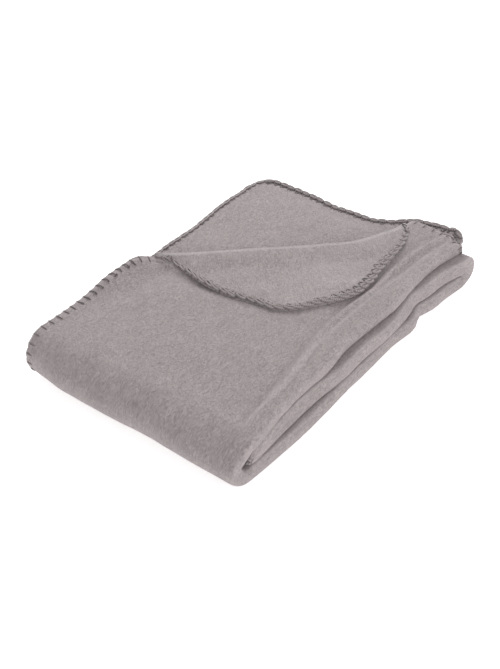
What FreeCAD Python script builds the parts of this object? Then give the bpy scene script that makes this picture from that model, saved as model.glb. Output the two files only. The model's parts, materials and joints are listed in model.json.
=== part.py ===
import FreeCAD, Part
import Sketcher
import os

from FreeCAD import Placement, Rotation, Vector

# A fleece throw, folded flat: four layers across its width, then in thirds along its length.
# Frame: origin at the bottom centre of the folded stack, +Z up, +Y along the stack's length
# from the front fold (where the top third wraps down to the bottom third) to the open end,
# +X across it from the hemmed side to the side of the long folds.
# Layers are numbered as they lie in the top third: 1 is its lowest and 4 its highest.

DIMENSIONS = {
    "stack_width": 320.0,
    "stack_length": 500.0,
    "layer_thick": 4.8,
    "layer_gap": 0.5,
    "stitch_radius": 2.2,
    "stitch_gap": 0.4,
    "end_setback": 2.0,
    "body_gap": 0.3,
    "corner_radius": 70.0,
    "turned_side": 296.0,
    "turned_end": 264.0,
    "crease_margin": 8.0,
}

LAYERS_UP = (1, 2, 3, 4)
LAYERS_DOWN = (4, 3, 2, 1)
LEVELS = 12
BEND_X_BACK = Rotation(Vector(0, 0, -1), Vector(0, 1, 0), Vector(1, 0, 0), "ZYX")
BEND_X_FRONT = Rotation(Vector(0, 0, 1), Vector(0, -1, 0), Vector(1, 0, 0), "ZYX")
BEND_Y_RIGHT = Rotation(Vector(0, 0, 1), Vector(1, 0, 0), Vector(0, 1, 0), "ZYX")
BEND_Y_LEFT = Rotation(Vector(0, 0, -1), Vector(-1, 0, 0), Vector(0, 1, 0), "ZYX")
ALONG_X = Rotation(Vector(0, 1, 0), 90)
ALONG_Y = Rotation(Vector(1, 0, 0), -90)

# Expressions on the sheet's cells, in millimetres.
THICK = "dims.layer_thick"
PITCH = "(dims.layer_thick + dims.layer_gap)"
LEFT_HEM = "(-dims.stack_width / 2 + dims.stitch_radius)"
LEFT_EDGE = "(-dims.stack_width / 2 + 2 * dims.stitch_radius + dims.stitch_gap)"
HEM_OFFSET = "(dims.stitch_radius + dims.stitch_gap)"


def level(index):
    """Underside of the layer at this level, counted up from 0 at the table."""
    return f"({index} * {PITCH})"


def half_height(layers):
    """Half the height of this many layers lying on each other."""
    return f"((({layers} - 1) * {PITCH} + {THICK}) / 2)"


FRONT_RADIUS = half_height(LEVELS)
FRONT_AXIS = f"(-dims.stack_length / 2 + {FRONT_RADIUS})"
BACK_RADIUS = half_height(8)
BACK_AXIS = f"(dims.stack_length / 2 - {BACK_RADIUS})"
ROLL_RADIUS = half_height(4)
PAIR_RADIUS = half_height(2)
RIGHT_FOLD = f"(dims.stack_width / 2 - {ROLL_RADIUS})"
LEFT_FOLD = f"({LEFT_EDGE} + {PAIR_RADIUS})"
END_HEM = "(dims.stack_length / 2 - dims.end_setback - dims.stitch_radius)"
END_EDGE = f"({END_HEM} - {HEM_OFFSET})"
INNER_HEM = FRONT_AXIS
INNER_EDGE = f"({INNER_HEM} + {HEM_OFFSET})"
TOP_START = f"({FRONT_AXIS} + dims.body_gap)"
CREASE_LENGTH = "sqrt(dims.turned_side ^ 2 + dims.turned_end ^ 2)"
CREASE_RADIUS = PAIR_RADIUS


class Throw:
    """The document with its sheet of dimensions, and the sub-parts made so far."""

    def __init__(self):
        self.doc = FreeCAD.newDocument("folded_throw")
        self.sheet = self.doc.addObject("Spreadsheet::Sheet", "dims")
        for row, (alias, value) in enumerate(DIMENSIONS.items(), start=1):
            self.sheet.set(f"A{row}", str(value))
            self.sheet.setAlias(f"A{row}", alias)
        self.doc.recompute()
        self.probe = self.doc.addObject("App::FeaturePython", "probe")
        self.parts = []

    def value(self, expression):
        """An expression's number, for what can't hold an expression."""
        found = self.probe.evalExpression(expression)
        return float(getattr(found, "Value", found))

    def keep(self, feature, label):
        """Record a feature as a finished sub-part under its own name."""
        feature.Label = label
        self.parts.append(feature)
        return feature


def move(feature, x="0", y="0", z="0", turn=None):
    """Place a feature: a fixed turn, and a position bound to expressions."""
    if turn is not None:
        feature.Placement = Placement(Vector(0, 0, 0), turn)
    for axis, expression in zip("xyz", (x, y, z)):
        feature.setExpression(f"Placement.Base.{axis}", expression)


def bind(feature, **sizes):
    """Bind properties to expressions."""
    for name, expression in sizes.items():
        feature.setExpression(name, expression)


def cut(throw, outer, inner, label):
    """One primitive less another, as a finished sub-part."""
    result = throw.doc.addObject("Part::Cut", "cut")
    result.Base = outer
    result.Tool = inner
    return throw.keep(result, label)


def layer(throw, label, x_low, y_low, y_high, height):
    """A flat layer that runs from x_low to the long folds."""
    box = throw.doc.addObject("Part::Box", "layer")
    bind(box, Length=f"{RIGHT_FOLD} - {x_low}", Width=f"{y_high} - {y_low}", Height=THICK)
    move(box, x_low, y_low, height)
    return throw.keep(box, label)


def half_tube(throw, label, radius, length, x, y, z, turn):
    """A layer bent round through half a turn about a straight axis; radius is its outside."""
    tubes = []
    for size in (radius, f"{radius} - {THICK}"):
        tube = throw.doc.addObject("Part::Cylinder", "bend")
        tube.Angle = 180
        bind(tube, Radius=size, Height=length)
        move(tube, x, y, z, turn)
        tubes.append(tube)
    return cut(throw, tubes[0], tubes[1], label)


def bent_fold(throw, label, ring, radius, side, x, y, z, turn):
    """A side fold carried round an end fold: half a ring of a half-tube section."""
    rings = []
    for size in (radius, f"{radius} - {THICK}"):
        torus = throw.doc.addObject("Part::Torus", "bend")
        torus.Angle1 = -180 if side > 0 else 0
        torus.Angle2 = 0 if side > 0 else 180
        torus.Angle3 = 180
        bind(torus, Radius1=ring, Radius2=size)
        move(torus, x, y, z, turn)
        rings.append(torus)
    return cut(throw, rings[0], rings[1], label)


def cord_run(throw, length, x, y, z, turn):
    """A straight run of edge stitching."""
    run = throw.doc.addObject("Part::Cylinder", "stitching")
    bind(run, Radius="dims.stitch_radius", Height=length)
    move(run, x, y, z, turn)
    return run


def cord_bend(throw, radius, angle, x, y, z, turn):
    """Edge stitching that follows a bend through this angle."""
    bend = throw.doc.addObject("Part::Torus", "stitching")
    bend.Angle3 = angle
    bind(bend, Radius1=radius, Radius2="dims.stitch_radius")
    move(bend, x, y, z, turn)
    return bend


def joined(throw, runs, name="stitching"):
    """Runs of stitching that meet end to end, as one solid."""
    fuse = throw.doc.addObject("Part::MultiFuse", name)
    fuse.Shapes = runs
    return fuse


def grouped(throw, label, cords):
    """Separate cords that share a name."""
    group = throw.doc.addObject("Part::Compound", "stitching")
    group.Links = cords
    return throw.keep(group, label)


def outline(throw, points, arc_after=None):
    """A body with one padded sketch. Its corners are expressions. A quarter arc of the
    blanket's corner radius joins the corner numbered arc_after to the next."""
    body = throw.doc.addObject("PartDesign::Body", "outline")
    sketch = body.newObject("Sketcher::SketchObject", "outline_sketch")
    plane = next(item for item in body.Origin.OriginFeatures if item.Role == "XY_Plane")
    sketch.AttachmentSupport = (plane, "")
    sketch.MapMode = "FlatFace"
    spots = [Vector(throw.value(x), throw.value(y), 0) for x, y in points]
    for number, start in enumerate(spots):
        finish = spots[(number + 1) % len(spots)]
        edge = corner_arc if number == arc_after else Part.LineSegment
        sketch.addGeometry(edge(start, finish))
    add_corner_constraints(sketch, points, spots, arc_after)
    pad = body.newObject("PartDesign::Pad", "outline_pad")
    pad.Profile = sketch
    bind(pad, Length=THICK)
    return body


def corner_arc(start, finish):
    """A quarter arc from a point on the side edge to a point on the end edge."""
    centre = Vector(finish.x, start.y, 0)
    reach = (start - centre).Length
    middle = (start + finish) * 0.5 - centre
    return Part.Arc(start, centre + middle.normalize() * reach, finish)


def end_at(sketch, edge, spot):
    """Which end of a sketch's edge is at this spot: 1 for its start, 2 for its finish."""
    gaps = {end: (sketch.getPoint(edge, end) - spot).Length for end in (1, 2)}
    return min(gaps, key=gaps.get)


def add_corner_constraints(sketch, points, spots, arc_after):
    """Tie each corner of a sketch to its expressions, and close the outline."""
    for number, (x, y) in enumerate(points):
        before = (number - 1) % len(points)
        spot = spots[number]
        here = end_at(sketch, number, spot)
        there = end_at(sketch, before, spot)
        sketch.addConstraint(Sketcher.Constraint("Coincident", before, there, number, here))
        for kind, size, expression in (("DistanceX", spot.x, x), ("DistanceY", spot.y, y)):
            rule = Sketcher.Constraint(kind, -1, 1, number, here, size)
            sketch.setExpression(f"Constraints[{sketch.addConstraint(rule)}]", expression)
    if arc_after is not None:
        radius = sketch.Geometry[arc_after].Radius
        rule = Sketcher.Constraint("Radius", arc_after, radius)
        sketch.setExpression(f"Constraints[{sketch.addConstraint(rule)}]", "dims.corner_radius")


def rise(index):
    """Mid-height of the layer at this level."""
    return f"({level(index)} + {THICK} / 2)"


def hemmed(number):
    """Layers 3 and 4 end in the blanket's edge on the left; 1 and 2 are folded there."""
    return number >= 3


def side_folds(throw, third, base, order, y_low, y_high):
    """The long folds of one third: an outer and an inner one on the right, one on the left."""
    length = f"{y_high} - {y_low}"
    middle = f"({level(base)} + {ROLL_RADIUS})"
    for name, radius in (("outer", ROLL_RADIUS), ("inner", PAIR_RADIUS)):
        label = f"{third}_{name}_fold"
        half_tube(throw, label, radius, length, RIGHT_FOLD, y_low, middle, BEND_Y_RIGHT)
    lower = base + min(order.index(1), order.index(2))
    middle = f"({level(lower)} + {PAIR_RADIUS})"
    label = f"{third}_left_fold"
    half_tube(throw, label, PAIR_RADIUS, length, LEFT_FOLD, y_low, middle, BEND_Y_LEFT)


def third(throw, name, base, order, y_low, y_high, shaped):
    """A third of the blanket's length: four layers and the long folds that join them.
    Layers in shaped have an outline of their own, made by the function given for them."""
    for index, number in enumerate(order):
        label = f"{name}_layer_{number}"
        x_low = LEFT_EDGE if hemmed(number) else LEFT_FOLD
        if number in shaped:
            body = shaped[number](throw)
            move(body, z=level(base + index))
            throw.keep(body, label)
        else:
            layer(throw, label, x_low, y_low, y_high, level(base + index))
    side_folds(throw, name, base, order, y_low, y_high)


def end_fold(throw, name, layers, radius, y, turn):
    """Four layers bent round from one third to the next, with their long folds."""
    for index, number in enumerate(layers):
        x = LEFT_EDGE if hemmed(number) else LEFT_FOLD
        length = f"{RIGHT_FOLD} - {x}"
        outside = f"({radius} - {index} * {PITCH})"
        half_tube(throw, f"{name}_layer_{number}", outside, length, x, y, radius, turn)
    ring = f"({radius} - {ROLL_RADIUS})"
    for side_name, section in (("outer", ROLL_RADIUS), ("inner", PAIR_RADIUS)):
        label = f"{name}_{side_name}_fold"
        bent_fold(throw, label, ring, section, 1, RIGHT_FOLD, y, radius, turn)
    ring = f"({radius} - {level(2)} - {PAIR_RADIUS})"
    bent_fold(throw, f"{name}_left_fold", ring, PAIR_RADIUS, -1, LEFT_FOLD, y, radius, turn)
    cords = []
    for index in (0, 1):
        ring = f"({radius} - {index} * {PITCH} - {THICK} / 2)"
        cords.append(cord_bend(throw, ring, 180, LEFT_HEM, y, radius, turn))
    grouped(throw, f"{name}_stitching", cords)


def corner_points(end_y, inward, far_y):
    """Outline of a layer with one rounded corner on the left of its end at end_y."""
    return [
        (LEFT_EDGE, f"{end_y} {inward} dims.corner_radius"),
        (f"{LEFT_EDGE} + dims.corner_radius", end_y),
        (RIGHT_FOLD, end_y),
        (RIGHT_FOLD, far_y),
        (LEFT_EDGE, far_y),
    ]


def middle_cornered(throw):
    """A hemmed layer of the middle third, with its hidden rounded corner."""
    return outline(throw, corner_points(INNER_EDGE, "+", BACK_AXIS), arc_after=0)


def top_cornered(throw):
    """The third layer of the top third, with its rounded corner under the turned one."""
    return outline(throw, corner_points(END_EDGE, "-", TOP_START), arc_after=0)


# The crease of the turned corner runs from the hemmed side to the end edge. These are how
# far a line parallel to it, one fold radius away, shifts along each of those edges.
CREASE_SHIFT_SIDE = f"({CREASE_RADIUS} * {CREASE_LENGTH} / dims.turned_end)"
CREASE_SHIFT_END = f"({CREASE_RADIUS} * {CREASE_LENGTH} / dims.turned_side)"
CREASE_SIDE_Y = f"({END_EDGE} - dims.turned_side)"
CREASE_END_X = f"({LEFT_EDGE} + dims.turned_end)"
CREASE_HEIGHT = f"({level(LEVELS)} - dims.layer_gap / 2)"


def top_creased(throw):
    """The uppermost layer, up to where its corner turns back."""
    points = [
        (LEFT_EDGE, f"{CREASE_SIDE_Y} - {CREASE_SHIFT_SIDE}"),
        (f"{CREASE_END_X} + {CREASE_SHIFT_END}", END_EDGE),
        (RIGHT_FOLD, END_EDGE),
        (RIGHT_FOLD, TOP_START),
        (LEFT_EDGE, TOP_START),
    ]
    return outline(throw, points)


def turned_over(throw):
    """The placement that turns a piece over about the crease."""
    along = Vector(throw.value("dims.turned_end"), throw.value("dims.turned_side"), 0)
    spot = [throw.value(size) for size in (LEFT_EDGE, CREASE_SIDE_Y, CREASE_HEIGHT)]
    half_turn = Rotation(along, 180)
    return Placement(Vector(*spot) - half_turn.multVec(Vector(*spot)), half_turn)


def turned_corner(throw):
    """The corner of the uppermost layer, cut out flat and then turned over, with the
    stitching round its edge and the fold that joins it to the layer."""
    start_y = f"({CREASE_SIDE_Y} + {CREASE_SHIFT_SIDE})"
    end_x = f"({CREASE_END_X} - {CREASE_SHIFT_END})"
    arc_y = f"({END_EDGE} - dims.corner_radius)"
    arc_x = f"({LEFT_EDGE} + dims.corner_radius)"
    points = [(LEFT_EDGE, arc_y), (arc_x, END_EDGE), (end_x, END_EDGE), (LEFT_EDGE, start_y)]
    flap = outline(throw, points, arc_after=0)
    lift = Placement(Vector(0, 0, throw.value(level(LEVELS - 1))), Rotation())
    flap.Placement = turned_over(throw).multiply(lift)
    throw.keep(flap, "turned_corner")
    height = rise(LEVELS - 1)
    edging = joined(
        throw,
        [
            cord_run(throw, f"{arc_y} - {start_y}", LEFT_HEM, start_y, height, ALONG_Y),
            corner_cord(throw, arc_y, height, 90),
            cord_run(throw, f"{end_x} - {arc_x}", arc_x, END_HEM, height, ALONG_X),
        ],
    )
    edging.Placement = turned_over(throw)
    throw.keep(edging, "turned_corner_stitching")
    crease_fold(throw)


def crease_fold(throw):
    """The half-tube along the crease, from the uppermost layer up to the turned corner."""
    side, end = (throw.value(f"dims.turned_{edge}") for edge in ("side", "end"))
    along = Vector(end, side, 0).normalize()
    outward = Vector(-along.y, along.x, 0)
    turn = Rotation(outward.cross(along), outward, along, "ZYX")
    share_x = f"dims.turned_end / {CREASE_LENGTH}"
    share_y = f"dims.turned_side / {CREASE_LENGTH}"
    x = f"{LEFT_EDGE} + dims.crease_margin * {share_x} + {CREASE_RADIUS} * {share_y}"
    y = f"{CREASE_SIDE_Y} + dims.crease_margin * {share_y} - {CREASE_RADIUS} * {share_x}"
    length = f"{CREASE_LENGTH} - 2 * dims.crease_margin"
    half_tube(throw, "turned_corner_fold", CREASE_RADIUS, length, x, y, CREASE_HEIGHT, turn)


def corner_cord(throw, y, height, start_angle):
    """Stitching round one rounded corner of the blanket, centred at this y."""
    radius = f"(dims.corner_radius + {HEM_OFFSET})"
    turn = Rotation(Vector(0, 0, 1), start_angle)
    return cord_bend(throw, radius, 90, f"{LEFT_EDGE} + dims.corner_radius", y, height, turn)


def end_cords(throw, base, y, top_start):
    """The edging across a free end, in order: the uppermost layer from x = top_start, round
    the long folds and back, and so on down to where layer 3 meets its corner."""
    corner = f"({LEFT_EDGE} + dims.corner_radius)"
    starts = {1: LEFT_FOLD, 2: LEFT_FOLD, 3: corner, 4: top_start}
    cords = []
    for number, x in starts.items():
        height = rise(base + number - 1)
        cords.append(cord_run(throw, f"{RIGHT_FOLD} - {x}", x, y, height, ALONG_X))
    middle = f"({level(base)} + {ROLL_RADIUS})"
    pair = f"({level(base)} + {PAIR_RADIUS})"
    half_pitch = f"({PITCH} / 2)"
    cords.append(cord_bend(throw, f"(3 * {half_pitch})", 180, RIGHT_FOLD, y, middle, BEND_Y_RIGHT))
    cords.append(cord_bend(throw, half_pitch, 180, RIGHT_FOLD, y, middle, BEND_Y_RIGHT))
    cords.append(cord_bend(throw, half_pitch, 180, LEFT_FOLD, y, pair, BEND_Y_LEFT))
    return cords


def bottom_stitching(throw):
    """The edging along the hemmed side of the bottom third."""
    cords = []
    for index in (0, 1):
        length = f"{BACK_AXIS} - {FRONT_AXIS}"
        cords.append(cord_run(throw, length, LEFT_HEM, FRONT_AXIS, rise(index), ALONG_Y))
    grouped(throw, "bottom_third_stitching", cords)


def middle_stitching(throw):
    """One run: along the side, round a corner, to and fro across the hidden end, and back."""
    corner_x = f"({LEFT_EDGE} + dims.corner_radius)"
    corner_y = f"({INNER_EDGE} + dims.corner_radius)"
    cords = end_cords(throw, 4, INNER_HEM, corner_x)
    for index in (6, 7):
        length = f"{BACK_AXIS} - {corner_y}"
        cords.append(cord_run(throw, length, LEFT_HEM, corner_y, rise(index), ALONG_Y))
        cords.append(corner_cord(throw, corner_y, rise(index), 180))
    throw.keep(joined(throw, cords), "middle_third_stitching")


def top_stitching(throw):
    """The edging of the top third, in two runs that end where the corner turns back."""
    corner_y = f"({END_EDGE} - dims.corner_radius)"
    cords = end_cords(throw, 8, END_HEM, f"({CREASE_END_X} + {CREASE_SHIFT_END})")
    length = f"{corner_y} - {TOP_START}"
    cords.append(cord_run(throw, length, LEFT_HEM, TOP_START, rise(10), ALONG_Y))
    cords.append(corner_cord(throw, corner_y, rise(10), 90))
    length = f"{CREASE_SIDE_Y} - {CREASE_SHIFT_SIDE} - {TOP_START}"
    side = cord_run(throw, length, LEFT_HEM, TOP_START, rise(11), ALONG_Y)
    grouped(throw, "top_third_stitching", [joined(throw, cords), side])


def build(throw):
    """Every sub-part of the folded throw."""
    third(throw, "bottom_third", 0, LAYERS_DOWN, FRONT_AXIS, BACK_AXIS, {})
    cornered = {3: middle_cornered, 4: middle_cornered}
    third(throw, "middle_third", 4, LAYERS_UP, INNER_EDGE, BACK_AXIS, cornered)
    shaped = {3: top_cornered, 4: top_creased}
    third(throw, "top_third", 8, LAYERS_UP, TOP_START, END_EDGE, shaped)
    end_fold(throw, "front_fold", LAYERS_DOWN, FRONT_RADIUS, FRONT_AXIS, BEND_X_FRONT)
    end_fold(throw, "back_fold", LAYERS_DOWN, BACK_RADIUS, BACK_AXIS, BEND_X_BACK)
    bottom_stitching(throw)
    middle_stitching(throw)
    top_stitching(throw)
    turned_corner(throw)


def check(throw):
    """Stop if any object failed, or a sub-part is not a sound solid."""
    for item in throw.doc.Objects:
        if "Invalid" in item.State or "Error" in item.State:
            raise RuntimeError(f"{item.Label} failed to recompute")
    for item in throw.parts:
        shape = item.Shape
        if shape.isNull() or not shape.isValid() or not shape.Solids:
            raise RuntimeError(f"{item.Label} is not a valid solid")


def report(throw):
    """Print the sizes that the record repeats."""
    crease = [round(throw.value(size), 3) for size in (LEFT_EDGE, CREASE_SIDE_Y, CREASE_HEIGHT)]
    print("front axis height", round(throw.value(FRONT_RADIUS), 3))
    print("crease starts at", crease, "and ends at x", round(throw.value(CREASE_END_X), 3))
    boxes = [item.Shape.BoundBox for item in throw.parts]
    whole = FreeCAD.BoundBox()
    for box in boxes:
        whole.add(box)
    print("whole", whole)
    print("sub-parts", len(throw.parts))


def main():
    throw = Throw()
    build(throw)
    throw.doc.recompute()
    check(throw)
    os.makedirs("parts", exist_ok=True)
    for item in throw.parts:
        item.Shape.exportStep(os.path.join("parts", item.Label + ".step"))
    report(throw)


main()
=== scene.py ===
"""Folded fleece throw: the visual model, camera, floor and lights.

The throw is one cloth, folded into four layers across and in three along its length, with one corner of its
top layer turned back. It is made as four sheets: the outer sheet (bottom third, front fold, top third), the
middle sheet (back fold, middle third), the roll along the crease and the turned corner. Listed
(place, value) pairs say how the real throw departs from a neat fold.

Every length inside the modelling functions is in millimetres, in the CAD frame; it becomes metres when a
mesh is made.
"""
import json
import math

import bpy
import numpy as np
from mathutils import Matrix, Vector


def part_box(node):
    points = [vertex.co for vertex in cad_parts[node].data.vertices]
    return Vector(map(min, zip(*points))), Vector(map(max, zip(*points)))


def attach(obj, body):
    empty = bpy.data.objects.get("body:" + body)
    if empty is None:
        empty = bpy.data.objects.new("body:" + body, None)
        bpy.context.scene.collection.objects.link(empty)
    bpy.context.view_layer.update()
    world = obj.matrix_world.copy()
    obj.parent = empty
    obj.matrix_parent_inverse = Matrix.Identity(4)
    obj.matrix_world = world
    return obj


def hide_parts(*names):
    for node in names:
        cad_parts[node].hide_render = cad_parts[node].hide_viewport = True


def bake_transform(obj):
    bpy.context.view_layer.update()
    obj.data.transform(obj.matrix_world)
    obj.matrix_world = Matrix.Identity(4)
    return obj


MM = 0.001


# ---------------------------------------------------------------- frame
def box_mm(node):
    low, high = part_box(node)
    return np.array(low) / MM, np.array(high) / MM


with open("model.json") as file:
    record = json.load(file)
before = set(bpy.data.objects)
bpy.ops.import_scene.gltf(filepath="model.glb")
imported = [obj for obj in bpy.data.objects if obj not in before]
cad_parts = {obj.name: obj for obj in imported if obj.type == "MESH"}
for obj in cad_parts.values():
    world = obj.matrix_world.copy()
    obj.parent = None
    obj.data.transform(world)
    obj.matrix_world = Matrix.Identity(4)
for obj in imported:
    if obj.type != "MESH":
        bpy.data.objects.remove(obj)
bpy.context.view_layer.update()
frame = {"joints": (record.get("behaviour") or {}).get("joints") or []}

LAYER_LOW, LAYER_HIGH = box_mm("bottom_third_layer_4")
FRONT_LOW, FRONT_HIGH = box_mm("front_fold_layer_4")
BACK_LOW, BACK_HIGH = box_mm("back_fold_layer_4")
NEXT_LOW = box_mm("bottom_third_layer_3")[0]
MIDDLE_LOW = box_mm("middle_third_layer_1")[0]
TOP_HIGH = box_mm("top_third_layer_1")[1]

LEFT = LAYER_LOW[0]
RIGHT = LAYER_HIGH[0]
LAYER = LAYER_HIGH[2] - LAYER_LOW[2]
PITCH = NEXT_LOW[2] - LAYER_LOW[2]
THIRD = 3 * PITCH + LAYER
FRONT_Y = FRONT_HIGH[1]
FRONT_Z = (FRONT_LOW[2] + FRONT_HIGH[2]) / 2
FRONT_R = (FRONT_HIGH[2] - FRONT_LOW[2]) / 2
BACK_Y = BACK_LOW[1]
BACK_Z = (BACK_LOW[2] + BACK_HIGH[2]) / 2
BACK_R = (BACK_HIGH[2] - BACK_LOW[2]) / 2
TOP_BASE = FRONT_Z + FRONT_R - THIRD
MIDDLE_BASE = BACK_Z + BACK_R - THIRD
END_Y = TOP_HIGH[1]
INNER_Y = MIDDLE_LOW[1]
MID = [LAYER / 2 + level * PITCH for level in range(4)]

HINGE = next(j for j in frame["joints"] if j["name"] == "corner_turns_back")
CREASE_DIR = -np.array(HINGE["axis"][:2], float)
CREASE_DIR = CREASE_DIR / np.linalg.norm(CREASE_DIR)

# ---------------------------------------------------------------- sizes of the cloth
CLOTH = 4.0            # thickness of the fleece
EDGE_SHARE = 0.45      # the hem is pinched to this share of the thickness
PINCH = 5.5            # and the pinch reaches this far in from the hem
CORNER_ROUND = 27      # radius of the throw's corner that shows
HIDDEN_ROUND = 60      # and of the ones that don't
ROLL_SQUARE = 0.31     # below 1, the rolls on the right press flat on each other
RIM_LEVEL = 0.94       # a painted highlight lightens the pile at this share of a roll's half height
RIM_WIDTH = 0.11       # over this share of it
RIM_CLEAR = 0.50       # by this much where the photo shows it clearly
RIM_FAINT = 0.34       # and by this much where it is fainter
STITCH_PITCH = 12.5    # distance between stitches
BITE = 7.0             # how far a stitch reaches in from the hem
YARN_SIDES = 6         # sides of a tube of yarn
FINE = 3.0             # grid step on what shows most
NEXT_STEP = 5.0        # on the layer whose hem shows under the corner
MIDDLE_STEP = 7.0      # on the middle third
MIDDLE_UNDER = 10.0    # on its layer 3
BOTTOM_STEP = 12.5     # along the bottom third
COARSE = 18.0          # on what is hidden
FRONT_STEPS = 31       # rows round the front fold
BACK_STEPS = 19        # rows round the back fold
WAVE_COUNT = 9         # waves in one soft undulation

# what a column of the folded section belongs to: the layers are 4, 1, 2 and 3, and these the folds between
OUTER_FOLD = 41
LEFT_FOLD = 12
INNER_FOLD = 23


# ---------------------------------------------------------------- small mathematics
def ease(t):
    t = np.clip(t, 0.0, 1.0)
    return t * t * (3 - 2 * t)


def bump(t, centre, width):
    return np.exp(-((t - centre) / width) ** 2)


def profile(knots):
    """A smooth curve through listed (place, value) pairs, level beyond its ends."""
    at = np.array([k[0] for k in knots], float)
    value = np.array([k[1] for k in knots], float)

    def curve(t):
        t = np.clip(np.asarray(t, float), at[0], at[-1])
        i = np.clip(np.searchsorted(at, t) - 1, 0, len(at) - 2)
        slope = np.gradient(value, at)
        width = at[i + 1] - at[i]
        s = (t - at[i]) / width
        rise = value[i + 1] - value[i]
        a = slope[i] * width - rise
        b = -slope[i + 1] * width + rise
        return (1 - s) * value[i] + s * value[i + 1] + s * (1 - s) * (a * (1 - s) + b * s)

    return curve


def through(points, count):
    """A smooth line of count points, evenly spaced, through given plan points."""
    points = np.array(points, float)
    chord = np.r_[0, np.cumsum(np.linalg.norm(np.diff(points, axis=0), axis=1))]
    t = np.linspace(0, chord[-1], 40 * len(points))
    fine = np.stack([profile(list(zip(chord, points[:, k])))(t) for k in range(points.shape[1])], 1)
    run = np.r_[0, np.cumsum(np.linalg.norm(np.diff(fine, axis=0), axis=1))]
    even = np.linspace(0, run[-1], count)
    return np.stack([np.interp(even, run, fine[:, k]) for k in range(points.shape[1])], 1)


def waves(x, y, scale, seed):
    """Soft seeded undulation, about -1 to 1."""
    random = np.random.RandomState(seed)
    total = np.zeros(np.broadcast(x, y).shape)
    for _ in range(WAVE_COUNT):
        angle = random.uniform(0, math.pi)
        phase = random.uniform(0, 2 * math.pi)
        length = scale * random.uniform(0.7, 1.5)
        total = total + np.sin(2 * math.pi * (x * math.cos(angle) + y * math.sin(angle)) / length + phase)
    return total / (WAVE_COUNT / 2)


# ---------------------------------------------------------------- where the throw departs from a neat fold
# how far each roll on the right stands out, along the stack
TOP_ROLL = profile((
    (-250, 9), (-219, 7), (-170, 0), (-120, -4), (-65, -4), (-20, -10), (40, -9), (90, -7), (130, -12),
    (185, -14), (225, -9), (240, -6), (250, -2)))
MIDDLE_ROLL = profile((
    (-240, 10), (-215, 7), (-172, 1), (-90, -1.5), (-45, 3.5), (0, 1.5), (67, 3.5), (110, -3.5), (132, -7),
    (155, -4), (200, -1), (227, 7), (250, 13)))
BOTTOM_ROLL = profile((
    (-250, 4), (-194, 8), (-139, 10), (-73, 8), (-32, 6), (-8, 6), (70, 4), (118, 6), (142, -2), (160, 3),
    (200, 6), (250, 12)))
# how far the end hem stands out, across the stack, on the outer layers and on the inner ones
OUTER_END = profile((
    (-160, -6), (-80, -8), (0, -4), (75, 3), (100, 7), (120, 10), (145, 8), (160, 4)))
INNER_END = profile((
    (-160, -10), (-110, -8), (-71, -8), (-42, -10), (-8, -8.5), (32, -5), (50, 6), (67, 16), (95, 23),
    (125, 25), (145, 21), (160, 15)))
# how far the end hem droops, across the stack
END_DROOP = profile((
    (-160, 2), (-80, 3), (-20, 5), (30, 4), (60, 1), (100, 0), (160, 1)))
# plan of the crease, from the side hem to the end hem
CREASE_PLAN = ((-140.5, -30), (-108, -5), (-75, 24.5), (-22, 75.5), (14, 112), (49.5, 149), (67, 184),
               (77, 213), (78, 229))
CREASE_RISE = 5.5      # the top layer rises this much to the crease
CREASE_REACH = 26      # over about this distance
# how much further forward the front fold's foot stands than its top, across the stack
FRONT_FOOT = profile((
    (-150, 0), (-135, 2), (-117, 5), (-100, 7.3), (-75, 8.2), (-35, 9), (-5, 8.8), (20, 7.6), (40, 7.8),
    (60, 8.9), (100, 10.9), (150, 12)))
# the hem of the top layer leans in where it runs into the crease
HEM_LEAN = profile((
    (-240, 0), (-170, 0), (-132, -2.5), (-92, -4), (-66, -2.5), (-56, -0.5), (-48, 3), (-40, 8), (-34, 12.5),
    (-30, 14.7), (0, 15)))
# where the ridge of the folded edge runs along the top, by the place along the stack
RIDGE = profile((
    (-240, 145), (-215, 143), (-145, 141), (-60, 128), (25, 123), (71, 124), (132, 126), (196, 130),
    (240, 135)))
CREASE_LINE = through(CREASE_PLAN, 241)


def crease_x(y):
    """Where the crease is, at that place along the stack."""
    return np.interp(y, CREASE_LINE[:, 1], CREASE_LINE[:, 0])


def crease_gap(x, y):
    """Distance towards the front right from the crease."""
    return (x - crease_x(y)) * CREASE_DIR[1]


# ---------------------------------------------------------------- the folded section and its rows
def run(start, stop, step):
    return np.linspace(start, stop, max(2, int(round(abs(stop - start) / step)) + 1))


def arc(x, h, radius, first, last, count):
    angle = np.radians(np.linspace(first, last, count))
    return x + radius * np.cos(angle), h + radius * np.sin(angle)


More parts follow.
